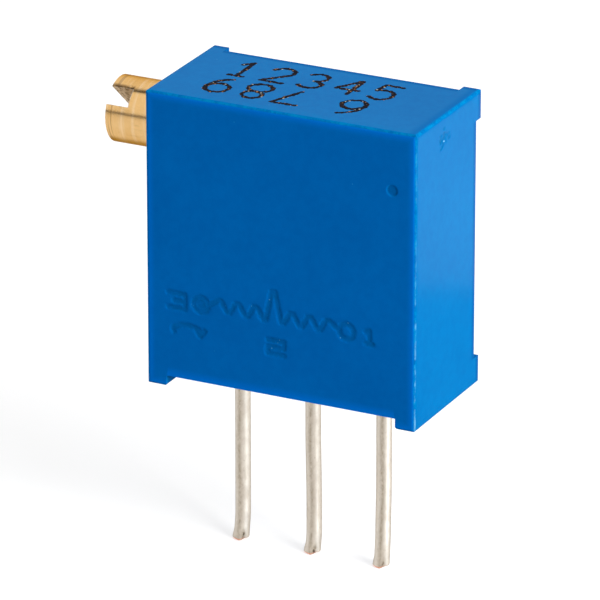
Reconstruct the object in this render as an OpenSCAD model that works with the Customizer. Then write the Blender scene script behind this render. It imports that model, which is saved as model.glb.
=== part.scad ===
// Multi-turn trimmer potentiometer: square moulded body, side-adjust screw, three in-line pins.
// A slotted worm screw turns a wheel that carries the wiper round a printed resistive track.
// Origin: on the axis of the middle pin, where the foot rails meet the board.
// Z is up, the screw head points to -X and the front face to -Y.

/* [Body] */
// Width of the body, from the screw end to the plain end
body_w = 9.53; // [9.1:0.01:12]
// Height from the foot rails to the top
body_h = 10.03; // [9.8:0.01:12.5]
// Depth from the front face to the back pads
body_d = 4.83; // [4.7:0.01:6]
// Radius of the moulded outer edges
edge_r = 0.12; // [0.06:0.01:0.18]
// Thickness of the front wall
front_wall = 0.6; // [0.5:0.01:0.65]
// Thickness of the side walls round the potted back
side_wall = 0.5; // [0.4:0.01:0.6]
// Thickness of the top wall at the potted back
top_wall = 0.45; // [0.35:0.01:0.5]
// Thickness of the bottom wall at the potted back
bottom_wall = 0.55; // [0.4:0.01:0.7]
// Width of the ledge that the ceramic plate rests on
ledge_w = 0.3; // [0.2:0.01:0.4]

/* [Feet and pads] */
// Height of the two foot rails
foot_h = 0.38; // [0.25:0.01:0.5]
// Width of each foot rail
foot_w = 0.7; // [0.5:0.01:1]
// Thickness of the four corner pads on the back
pad_t = 0.43; // [0.3:0.01:0.5]
// Width of each corner pad
pad_w = 0.6; // [0.45:0.01:1]
// Height of each corner pad
pad_h = 0.96; // [0.6:0.01:1.4]

/* [Adjusting screw] */
// Distance of the screw axis from the front face and from the top
axis_inset = 1.27; // [1.24:0.01:1.45]
// Diameter of the screw head
head_d = 2.19; // [1.8:0.01:2.25]
// Length of the head that stands out of the body
head_out = 1.52; // [1:0.01:2.5]
// Width of the driver slot
slot_w = 0.62; // [0.4:0.01:0.8]
// Depth of the driver slot
slot_depth = 0.76; // [0.4:0.01:0.9]
// Direction of the driver slot at rest, from the back towards the top
slot_angle = 139; // [0:1:180]
// Diameter of the tip journal
journal_d = 0.92; // [0.7:0.01:1]
// Radial running clearance of the head and the journal
shaft_clear = 0.03; // [0.02:0.005:0.04]

/* [Seal and retainer] */
// Cord diameter of the shaft seal ring
seal_cord = 0.4; // [0.3:0.01:0.42]
// Width of the seal groove
seal_groove_w = 0.52; // [0.46:0.01:0.6]
// Distance of the seal groove behind the body's end face
seal_inset = 0.6; // [0.4:0.01:0.7]
// Diameter of the cross pin that keeps the screw in
retainer_d = 0.5; // [0.4:0.01:0.55]
// Clearance of the cross pin in the screw's groove
retainer_clear = 0.03; // [0.02:0.005:0.05]

/* [Worm and wheel] */
// Axial pitch of the single-start worm
worm_pitch = 0.6; // [0.5:0.01:0.61]
// Radius of the worm where thread and space are about equal
worm_r = 0.75; // [0.7:0.01:0.78]
// Number of wheel teeth
wheel_teeth = 33; // [26:1:33]
// Thickness of the toothed rim
wheel_t = 0.9; // [0.7:0.01:1]
// How much thinner than half the pitch a wheel tooth is
tooth_slack = 0.08; // [0.06:0.01:0.1]
// How much thinner than half the pitch the worm thread is
thread_slack = 0.06; // [0.05:0.01:0.08]
// Turns of thread on the worm
worm_turns = 6; // [4:1:6]
// Diameter of the pivot post
pivot_d = 1.6; // [1.3:0.01:1.7]
// Running clearance of the wheel on its post and shoulder
pivot_clear = 0.03; // [0.02:0.005:0.05]
// Angle that the wheel turns to each side of the middle
wheel_swing = 136.4; // [120:0.1:138]

/* [Element] */
// Thickness of the ceramic plate
plate_t = 0.5; // [0.4:0.01:0.65]
// Thickness of the printed films
film_t = 0.03; // [0.02:0.005:0.05]
// Radius of the middle of the resistive track
track_r = 2.3; // [2.2:0.01:2.4]
// Width of the resistive track
track_w = 0.6; // [0.4:0.01:0.7]
// Radius of the middle of the collector ring
collector_r = 1.25; // [1.2:0.01:1.3]
// Width of the collector ring and its lead
collector_w = 0.5; // [0.3:0.01:0.55]
// Angle from the middle of the track to each of its ends
track_half = 133; // [120:1:136]
// Gap that the wiper's tips keep from the films
tip_gap = 0.03; // [0.02:0.005:0.05]
// Thickness of the wiper's spring strip
strip_t = 0.08; // [0.05:0.005:0.1]

/* [Pins] */
// Diameter of the pins
pin_d = 0.51; // [0.4:0.01:0.62]
// Pitch of the three pins
pin_pitch = 2.54; // [2.4:0.01:2.7]
// Distance of the row of pins from the front face
pin_inset = 2.41; // [2.38:0.01:2.42]
// Length of the pins below the board's surface
pin_len = 6; // [3:0.01:8]
// Clearance of a pin in the bottom wall
pin_clear = 0.03; // [0.02:0.005:0.05]
// Length of the pinched end that the cutter leaves
pinch_len = 0.4; // [0.2:0.01:0.8]
// Thickness of the pin across its cut end
pinch_t = 0.3; // [0.2:0.01:0.4]

/* [Hidden] */
$fn = 64;

over = 1;           // how far a cutting tool runs past the face that it opens
bite = 0.1;         // how far joined shapes of one piece reach into each other
fit_gap = 0.01;     // gap between pieces that are pressed, potted or laid together

// Heights and depths. Depths are measured from the front face towards the back.
axis_z = body_h - axis_inset;
head_r = head_d / 2;
bore_r = head_r + shaft_clear;
rim_y = body_d - pad_t;
gland_wall = 0.15;
plate_set = 0.135;  // least distance of the ledge behind the axis of the pins
ledge_y = max(axis_inset + bore_r + gland_wall, pin_inset + plate_set);
plate_y = ledge_y + fit_gap;
film_y = plate_y - film_t;
pocket_x = body_w / 2 - side_wall;
pocket_floor = foot_h + bottom_wall;
pocket_top = body_h - top_wall;
cavity_x = pocket_x - ledge_w;
cavity_floor = pocket_floor + ledge_w;
gland_floor_wall = 0.35;
cavity_top = axis_z - bore_r - gland_floor_wall;
corner_r = 0.25;

// Worm and wheel. Heights of teeth and thread are shares of the module, which is pitch / pi.
gear_module = worm_pitch / PI;
tooth_rise = 0.73 * gear_module;
tooth_drop = 1.26 * gear_module;
tooth_w = worm_pitch / 2 - tooth_slack;
thread_w = worm_pitch / 2 - thread_slack;
pitch_r = wheel_teeth * gear_module / 2;
wheel_z = axis_z - worm_r - pitch_r;
wheel_front = axis_inset - wheel_t / 2;
wheel_back = axis_inset + wheel_t / 2;
tip_r = pitch_r + tooth_rise;
flank = 0.4;        // change of thickness to each side for each unit of height on a flank
worm_crest_r = worm_r + gear_module;
worm_root_r = worm_r - 1.15 * gear_module;
worm_half = worm_turns * worm_pitch / 2;
lead_slope = worm_pitch / (2 * PI * worm_r);
wheel_gap = 0.08;
hub_r = 1.45;
hub_back = axis_inset + 0.85;
stud_r = 0.13;
stud_out = 0.06;
stud_x = [for (side = [-1, 1]) side * (pivot_d / 2 + pivot_clear + hub_r) / 2];
pivot_r = pivot_d / 2;
post_end = ledge_y - 0.17;
trough_r = worm_crest_r + 0.06;
trough_top = axis_z + 0.6 * trough_r;
trough_half = 2.45;
bearing_t = 0.7;
shoulder_w = 0.45;  // width of the shoulder that the wheel runs against
recess_w = 0.75;    // width of the toothed rim outside the wheel's recess
recess_depth = 0.25;

// Screw stations along X
head_end = -body_w / 2 - head_out;
seal_x = -body_w / 2 + seal_inset;
seal_groove_r = bore_r - seal_cord - 0.04;
retainer_r = retainer_d / 2;
retainer_groove_w = retainer_d + 0.06;
retainer_groove_r = head_r - 0.475;
retainer_x = -trough_half - 0.35 - retainer_groove_w / 2;
retainer_z = axis_z - retainer_groove_r - retainer_clear - retainer_r;
retainer_hole_y = front_wall + 0.1;
retainer_end_gap = 0.05;
neck_x = -trough_half + 0.15;
tip_x = trough_half + bearing_t + 0.15;

// Stops that end the wheel's swing
lug_half = 8;
stop_half = 180 - wheel_swing - lug_half - 1.6;
stop_in = 1.5;
stop_out = 2.3;
stop_gap = 0.05;

// Terminals
pin_r = pin_d / 2;
pin_x = [pin_pitch, 0, -pin_pitch];
pin_bottom = -pin_len;
wire_top = foot_h + 0.1;
shank_half = 0.7 * pin_r;
paddle_w = 0.84;
paddle_t = 0.2;
paddle_low = cavity_floor + 0.04;
paddle_high = cavity_floor + 0.97;
solder_margin = 0.2;
notch_top = cavity_floor + 0.13;
film_low = notch_top + 0.05;

// Places a piece that is drawn with its depths measured from the front face.
module from_front() {
    translate([0, -pin_inset, 0]) children();
}

// Turns a flat outline drawn as X and height into a slab between two depths.
module slab(y_low, y_high) {
    translate([0, y_high, 0]) rotate([90, 0, 0]) linear_extrude(y_high - y_low) children();
}

// Stands a shape on the wheel's axis: its own Z runs to the back and its Y runs down.
module on_wheel(y) {
    translate([0, y, wheel_z]) rotate([-90, 0, 0]) children();
}

// Rectangle with its lower left corner at x, z and all corners rounded.
module round_rect(x, z, w, h, r) {
    translate([x + r, z]) square([w - 2 * r, h]);
    translate([x, z + r]) square([w, h - 2 * r]);
    for (cx = [x + r, x + w - r], cz = [z + r, z + h - r]) {
        translate([cx, cz]) circle(r);
    }
}

// Part of a ring between two radii, half_angle to each side of the direction mid_angle.
module ring_sector(r_in, r_out, mid_angle, half_angle) {
    steps = 8;
    reach = 2 * r_out;
    angles = [for (i = [0:steps]) mid_angle - half_angle + 2 * half_angle * i / steps];
    intersection() {
        difference() {
            circle(r_out);
            circle(r_in);
        }
        polygon(concat([[0, 0]], [for (a = angles) reach * [cos(a), sin(a)]]));
    }
}

// Housing ------------------------------------------------------------------------------------

// The outline from the front: a square block on two foot rails.
module front_outline() {
    round_rect(-body_w / 2, foot_h, body_w, body_h - foot_h, edge_r);
    for (side = [-1, 1]) {
        foot_x = side * (body_w - foot_w) / 2 - foot_w / 2;
        round_rect(foot_x, 0, foot_w, foot_h + 3 * edge_r, edge_r);
    }
}

// The outline from the side: depth across, with a pad at the top and at the bottom of the back.
module side_outline() {
    round_rect(0, 0, rim_y, body_h, edge_r);
    for (low = [0, body_h - pad_h]) {
        round_rect(rim_y - 3 * edge_r, low, pad_t + 3 * edge_r, pad_h, edge_r);
    }
}

// The outline from above: width across, with a pad at each end of the back.
module top_outline() {
    round_rect(-body_w / 2, 0, body_w, rim_y, edge_r);
    for (side = [-1, 1]) {
        pad_x = side * (body_w - pad_w) / 2 - pad_w / 2;
        round_rect(pad_x, rim_y - 3 * edge_r, pad_w, pad_t + 3 * edge_r, edge_r);
    }
}

// Where all three outlines agree: rounded edges, two foot rails and four corner pads.
module body_block() {
    intersection() {
        slab(-over, body_d + over) front_outline();
        translate([-body_w / 2 - over, 0, 0]) rotate([90, 0, 90])
            linear_extrude(body_w + 2 * over) side_outline();
        translate([0, 0, -over]) linear_extrude(body_h + 2 * over) top_outline();
    }
}

// The channel round the worm, rounded at the front and top and open to the back.
module worm_trough() {
    translate([-trough_half, axis_inset, axis_z]) rotate([90, 0, 90])
        linear_extrude(2 * trough_half) {
            circle(trough_r);
            translate([0, cavity_top - axis_z - over / 2])
                square([ledge_y - axis_inset + over / 2, trough_top - cavity_top + over / 2]);
        }
}

// Round-ended slot through the bottom wall, open to the back so that a pin can be laid in.
module pin_slot(x, r) {
    translate([x, pin_inset, foot_h - over]) linear_extrude(cavity_floor - foot_h + over + bite) {
        circle(r);
        translate([-r, 0]) square([2 * r, body_d]);
    }
}

module housing_pockets() {
    // potted pocket behind the ledge
    slab(ledge_y, body_d + over)
        round_rect(-pocket_x, pocket_floor, 2 * pocket_x, pocket_top - pocket_floor, corner_r);
    // cavity of the wheel
    slab(front_wall, ledge_y + over / 2)
        round_rect(-cavity_x, cavity_floor, 2 * cavity_x, cavity_top - cavity_floor, corner_r);
    on_wheel(front_wall) cylinder(h = ledge_y - front_wall + over / 2, r = tip_r + wheel_gap);
    // worm, its bearings and the relief beyond the tip bearing
    worm_trough();
    slab(front_wall, ledge_y + over / 2)
        round_rect(trough_half + bearing_t, cavity_top - over, cavity_x - trough_half - bearing_t,
                   over + trough_top - cavity_top, corner_r / 2);
    translate([-body_w / 2 - over, axis_inset, axis_z]) rotate([0, 90, 0])
        cylinder(h = body_w / 2 + over - trough_half + over / 4, r = bore_r);
    translate([trough_half - over / 4, axis_inset, axis_z]) rotate([0, 90, 0])
        cylinder(h = bearing_t + over / 2, r = journal_d / 2 + shaft_clear);
    // hole of the cross pin
    translate([retainer_x, retainer_hole_y, retainer_z]) rotate([-90, 0, 0])
        cylinder(h = body_d, r = retainer_r + fit_gap);
    for (x = pin_x) pin_slot(x, pin_r + pin_clear);
}

// Post, shoulder and stop that the front wall holds out to the wheel.
module wheel_seat() {
    root_y = front_wall - bite;
    on_wheel(root_y) {
        cylinder(h = post_end - root_y, r = pivot_r);
        cylinder(h = wheel_front - pivot_clear - root_y, r = pivot_r + shoulder_w);
        linear_extrude(wheel_front - stop_gap - root_y)
            ring_sector(stop_in, stop_out, 90, stop_half);
    }
}

module housing() {
    color("#1268b3") from_front() {
        difference() {
            body_block();
            housing_pockets();
        }
        wheel_seat();
    }
}

// The epoxy that closes the back: a slab in the pocket with a fin behind each pin.
module back_potting() {
    pot_sink = 0.1;
    pot_back = rim_y - pot_sink;
    fin_r = pin_r + pin_clear - fit_gap;
    color("#2b5f97") from_front() difference() {
        union() {
            slab(plate_y + plate_t + fit_gap, pot_back)
                round_rect(-pocket_x + fit_gap, pocket_floor + fit_gap, 2 * (pocket_x - fit_gap),
                           pocket_top - pocket_floor - 2 * fit_gap, corner_r - fit_gap);
            for (x = pin_x) {
                translate([x - fin_r, pin_inset, foot_h + fit_gap])
                    cube([2 * fin_r, pot_back - pin_inset, bottom_wall + 2 * fit_gap]);
            }
        }
        for (x = pin_x) pin_stem(x, fit_gap);
    }
}

// Screw --------------------------------------------------------------------------------------

// Each turned step: radius, start and end along X.
screw_steps = [
    [head_r, head_end, seal_x],
    [seal_groove_r, seal_x, seal_x + seal_groove_w],
    [head_r, seal_x + seal_groove_w, retainer_x - retainer_groove_w / 2],
    [retainer_groove_r, retainer_x - retainer_groove_w / 2, retainer_x + retainer_groove_w / 2],
    [head_r, retainer_x + retainer_groove_w / 2, neck_x],
    [worm_root_r, neck_x, worm_half + 0.05],
    [journal_d / 2, worm_half + 0.05, tip_x]
];

module screw_blank() {
    sides = [for (s = screw_steps) each [[s[0], s[1]], [s[0], s[2]]]];
    rotate([0, 90, 0]) rotate_extrude() polygon(concat([[0, head_end]], sides, [[0, tip_x]]));
}

// Right-hand worm thread: a trapezium swept along a helix, running out at both ends.
module worm_thread() {
    per_turn = 24;
    runout = per_turn / 2;
    phase = 0.75 * worm_pitch;
    rings = worm_turns * per_turn - per_turn;
    sunk_r = worm_root_r - 0.08;
    sunk_half = thread_w / 2 + flank * (worm_r - sunk_r);
    first_turn = -floor((worm_turns - 1) / 2) - 1;
    function crest(i) = worm_root_r - 0.03
        + (worm_crest_r - worm_root_r + 0.03) * min(1, i / runout, (rings - i) / runout);
    function half_w(r) = thread_w / 2 + flank * (worm_r - r);
    function at(i, r, dx) = let (a = 360 * i / per_turn)
        [phase + worm_pitch * (first_turn + i / per_turn) + dx, r * cos(a), r * sin(a)];
    points = [for (i = [0:rings]) each [
        at(i, sunk_r, -sunk_half),
        at(i, crest(i), -half_w(crest(i))),
        at(i, crest(i), half_w(crest(i))),
        at(i, sunk_r, sunk_half)
    ]];
    skin = [for (i = [0:rings - 1], k = [0:3]) let (a = 4 * i + k, b = 4 * i + (k + 1) % 4)
        each [[a, b, b + 4], [a, b + 4, a + 4]]];
    ends = [[3, 2, 1, 0], [4 * rings, 4 * rings + 1, 4 * rings + 2, 4 * rings + 3]];
    polyhedron(points, concat(skin, ends));
}

module adjusting_screw() {
    color("#d9b26a") from_front() translate([0, axis_inset, axis_z]) difference() {
        union() {
            screw_blank();
            worm_thread();
        }
        translate([head_end, 0, 0]) rotate([slot_angle, 0, 0])
            cube([2 * slot_depth, 3 * head_r, slot_w], center = true);
    }
}

module shaft_seal_ring() {
    ring_r = seal_groove_r + seal_cord / 2 + fit_gap;
    color("#3a3a3c") from_front() translate([seal_x + seal_groove_w / 2, axis_inset, axis_z])
        rotate([0, 90, 0]) rotate_extrude() translate([ring_r, 0]) circle(seal_cord / 2);
}

module screw_retaining_pin() {
    start_y = retainer_hole_y + retainer_end_gap;
    color("#b9bcc0") from_front() translate([retainer_x, start_y, retainer_z])
        rotate([-90, 0, 0]) cylinder(h = ledge_y - retainer_end_gap - start_y, r = retainer_r);
}

// Wheel and wiper ----------------------------------------------------------------------------

function tooth_half(r) = tooth_w / 2 + flank * (pitch_r - r);

// Outline of the toothed rim, with one tooth pointing up at the worm.
module wheel_outline() {
    root_r = pitch_r - tooth_drop;
    function at(a, r, side) = r * [cos(a + side * tooth_half(r) / r * 180 / PI),
                                   sin(a + side * tooth_half(r) / r * 180 / PI)];
    polygon([for (i = [0:wheel_teeth - 1]) let (a = -90 + 360 * i / wheel_teeth)
        each [at(a, root_r, -1), at(a, tip_r, -1), at(a, tip_r, 1), at(a, root_r, 1)]]);
}

module worm_wheel() {
    lead_twist = wheel_t * lead_slope / pitch_r * 180 / PI;
    color("#e9e6dc") from_front() difference() {
        union() {
            on_wheel(wheel_front) rotate([0, 0, -lead_twist / 2])
                linear_extrude(wheel_t, twist = -lead_twist, slices = 3) wheel_outline();
            on_wheel(wheel_front + bite) cylinder(h = hub_back - wheel_front - bite, r = hub_r);
            // lug that meets the housing's stop at each end of the swing
            on_wheel(front_wall + stop_gap) linear_extrude(wheel_t / 2)
                ring_sector(stop_in + stop_gap, stop_out - stop_gap, -90, lug_half);
            // studs that hold the wiper
            for (x = stud_x) {
                translate([x, 0, 0]) on_wheel(hub_back - bite)
                    cylinder(h = bite + strip_t + stud_out, r = stud_r);
            }
        }
        on_wheel(wheel_front - over) cylinder(h = body_d, r = pivot_r + pivot_clear);
        // shallow recess between the rim and the hub
        on_wheel(wheel_back - recess_depth) linear_extrude(over) difference() {
            circle(tip_r - recess_w);
            circle(hub_r);
        }
    }
}

// Side view of one spring finger: from the plate, up a slope, to a rounded contact tip.
module finger_profile(start, tip, base_y, tip_y) {
    tip_round = 1.3 * strip_t;
    bend = start + 0.35 * (tip - start);
    low = tip_y - tip_round;
    translate([tip, low]) circle(tip_round);
    polygon([
        [start, base_y], [bend, base_y], [tip, low - strip_t / 2], [tip, low + strip_t / 2],
        [bend - 0.02, base_y + strip_t], [start, base_y + strip_t]
    ]);
}

module wiper_spring() {
    finger_w = 0.2;
    finger_step = 0.27;
    plate_r = hub_r + 0.12;
    tip_y = film_y - tip_gap;
    color("#e3c987") from_front() {
        // ring staked to the hub, open at the bottom round the collector fingers
        on_wheel(hub_back) linear_extrude(strip_t) difference() {
            circle(plate_r);
            circle(pivot_r + 0.08);
            for (x = stud_x) {
                translate([x, 0]) circle(stud_r + fit_gap);
            }
            translate([-0.45, collector_r - finger_step]) square([0.95, plate_r]);
        }
        // three fingers on the resistive track
        for (i = [-1:1]) {
            translate([i * finger_step + finger_w / 2, 0, wheel_z]) rotate([0, -90, 0])
                linear_extrude(finger_w) finger_profile(plate_r - 0.2, track_r, hub_back, tip_y);
        }
        // two fingers on the collector ring
        for (i = [-1, 1]) {
            z = wheel_z - collector_r + i * finger_step / 2;
            translate([0, 0, z - finger_w / 2]) linear_extrude(finger_w)
                finger_profile(-0.6, 0.2, hub_back, tip_y);
        }
    }
}

// Element ------------------------------------------------------------------------------------

module ceramic_plate() {
    edge_gap = 0.05;
    plate_x = pocket_x - edge_gap;
    plate_floor = pocket_floor + edge_gap;
    notch_r = pin_r + edge_gap;
    color("#f1efe8") from_front() slab(plate_y, plate_y + plate_t) difference() {
        round_rect(-plate_x, plate_floor, 2 * plate_x, pocket_top - edge_gap - plate_floor, corner_r);
        for (x = pin_x) {
            translate([x, notch_top - notch_r]) circle(notch_r);
            translate([x - notch_r, 0]) square([2 * notch_r, notch_top - notch_r]);
        }
    }
}

// Lays a flat outline, drawn as X and height above the wheel's axis, on the plate as a film.
module film() {
    from_front() slab(film_y, plate_y) translate([0, wheel_z]) children();
}

module resistive_track() {
    color("#2c2a28") film()
        ring_sector(track_r - track_w / 2, track_r + track_w / 2, 90, track_half);
}

module collector_track() {
    color("#c9c7bd") film() {
        difference() {
            union() {
                circle(collector_r + collector_w / 2);
                translate([-collector_w / 2, film_low - wheel_z])
                    square([collector_w, wheel_z - film_low]);
                translate([-paddle_w / 2 - solder_margin, film_low - wheel_z])
                    square([paddle_w + 2 * solder_margin, paddle_high + solder_margin - film_low]);
            }
            circle(collector_r - collector_w / 2);
        }
    }
}

// Conductor that joins the left end of the track to the pin below it.
module end_pad() {
    spread = 12;
    pad_low = film_low - wheel_z;
    pad_high = paddle_high + solder_margin - wheel_z;
    half = paddle_w / 2 + solder_margin;
    mid = 90 + track_half + spread / 2 + 0.5;
    outer_r = track_r + track_w / 2;
    pad_right = half - pin_pitch;
    link_left = pad_right - 0.1;
    link_right = max(outer_r * cos(mid + spread / 2), pad_right + 0.2);
    color("#c9c7bd") film() {
        ring_sector(track_r - track_w / 2, outer_r, mid, spread / 2);
        translate([link_left, pad_low])
            square([link_right - link_left, outer_r * sin(mid) - pad_low]);
        translate([-pin_pitch - half, pad_low]) square([2 * half, pad_high - pad_low]);
    }
}

module end_pad_1() {
    mirror([1, 0, 0]) end_pad();
}

module end_pad_3() {
    end_pad();
}

// Terminals ----------------------------------------------------------------------------------

// Flat head of a pin: the wire's width at the bottom, spreading to the paddle.
module paddle_outline() {
    half = paddle_w / 2;
    corner = 0.12;
    polygon([
        [-pin_r, paddle_low - bite], [pin_r, paddle_low - bite], [pin_r, paddle_low],
        [half, paddle_low + 0.2], [half, paddle_high - corner], [half - corner, paddle_high],
        [corner - half, paddle_high], [-half, paddle_high - corner], [-half, paddle_low + 0.2],
        [-pin_r, paddle_low]
    ]);
}

// Round wire up to the bottom wall, then a square shank that can't turn in the potting.
module pin_stem(x, grow) {
    side = 2 * (shank_half + grow);
    translate([x, pin_inset, pin_bottom]) cylinder(h = wire_top + grow - pin_bottom, r = pin_r + grow);
    translate([x - side / 2, pin_inset - side / 2, 0]) cube([side, side, paddle_low]);
}

// Stem, pinched by the cutter at the bottom, with a flat paddle at the top.
module terminal_pin(x) {
    cut_depth = pin_r - pinch_t / 2;
    cut_angle = atan(cut_depth / pinch_len);
    color("#cfc9bd") from_front() {
        difference() {
            pin_stem(x, 0);
            for (side = [-1, 1]) {
                translate([x, pin_inset + side * pinch_t / 2, pin_bottom])
                    rotate([-side * cut_angle, 0, 0]) translate([0, side * pin_d, 0])
                    cube([2 * pin_d, 2 * pin_d, 4 * pinch_len], center = true);
            }
        }
        translate([x, 0, 0]) slab(film_y - paddle_t, film_y) paddle_outline();
    }
}

module terminal_pin_1() {
    terminal_pin(pin_x[0]);
}

module terminal_pin_2() {
    terminal_pin(pin_x[1]);
}

module terminal_pin_3() {
    terminal_pin(pin_x[2]);
}

// Solder fillet round a paddle: wide on the film, narrow at the paddle's face.
module solder_joint(x) {
    film_border = 0.03;
    foot_low = film_low + fit_gap;
    foot_half = paddle_w / 2 + solder_margin - film_border;
    foot_high = paddle_high + solder_margin - film_border;
    top_inset = 0.12;
    color("#d8d8d4") from_front() translate([x, 0, 0]) difference() {
        hull() {
            slab(film_y - 0.01, film_y)
                translate([-foot_half, foot_low]) square([2 * foot_half, foot_high - foot_low]);
            slab(film_y - paddle_t + 0.04, film_y - paddle_t + 0.05)
                translate([top_inset - foot_half, foot_low + top_inset])
                square([2 * (foot_half - top_inset), foot_high - foot_low - 2 * top_inset]);
        }
        slab(film_y - over, film_y + over) paddle_outline();
    }
}

module solder_joint_1() {
    solder_joint(pin_x[0]);
}

module solder_joint_2() {
    solder_joint(pin_x[1]);
}

module solder_joint_3() {
    solder_joint(pin_x[2]);
}

housing();
back_potting();
adjusting_screw();
shaft_seal_ring();
screw_retaining_pin();
worm_wheel();
wiper_spring();
ceramic_plate();
resistive_track();
collector_track();
end_pad_1();
end_pad_3();
terminal_pin_1();
terminal_pin_2();
terminal_pin_3();
solder_joint_1();
solder_joint_2();
solder_joint_3();
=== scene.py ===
# Looks of the multi-turn trimmer potentiometer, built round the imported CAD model.
import math
import random

import bmesh
import bpy
import numpy as np
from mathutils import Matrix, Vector
from mathutils.kdtree import KDTree


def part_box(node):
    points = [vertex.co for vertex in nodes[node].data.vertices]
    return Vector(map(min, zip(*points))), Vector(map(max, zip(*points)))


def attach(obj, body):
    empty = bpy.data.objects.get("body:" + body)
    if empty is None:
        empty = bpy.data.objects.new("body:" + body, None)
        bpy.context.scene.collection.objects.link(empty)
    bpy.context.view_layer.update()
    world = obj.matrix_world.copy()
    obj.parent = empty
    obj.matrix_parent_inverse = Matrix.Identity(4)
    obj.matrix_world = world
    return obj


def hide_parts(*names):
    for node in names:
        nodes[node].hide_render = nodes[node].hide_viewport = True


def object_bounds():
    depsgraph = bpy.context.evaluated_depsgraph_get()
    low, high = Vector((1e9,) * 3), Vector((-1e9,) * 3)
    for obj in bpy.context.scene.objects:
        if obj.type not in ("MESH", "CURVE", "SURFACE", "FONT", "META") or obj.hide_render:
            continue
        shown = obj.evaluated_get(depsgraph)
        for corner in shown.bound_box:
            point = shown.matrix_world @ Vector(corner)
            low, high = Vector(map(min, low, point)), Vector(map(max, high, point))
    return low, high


MM = 0.001
# Metres within which points are welded, count as the same place, or lie on a cutting plane
WELD = 1e-7
SAME_PLACE = 2e-7
ON_CUT = 1e-8
# Keeps a division from failing where a length or a depth is nothing
TINY = 1e-9

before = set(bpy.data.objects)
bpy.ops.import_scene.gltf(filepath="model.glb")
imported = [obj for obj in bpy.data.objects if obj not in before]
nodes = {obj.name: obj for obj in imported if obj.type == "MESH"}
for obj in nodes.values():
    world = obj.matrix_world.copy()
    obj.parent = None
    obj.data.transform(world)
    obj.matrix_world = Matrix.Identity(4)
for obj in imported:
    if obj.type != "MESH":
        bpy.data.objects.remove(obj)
cad_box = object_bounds()


def add_object(name, data):
    """A new object in the scene."""
    made = bpy.data.objects.new(name, data)
    bpy.context.scene.collection.objects.link(made)
    return made


# Node helpers -----------------------------------------------------------------------------------

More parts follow.
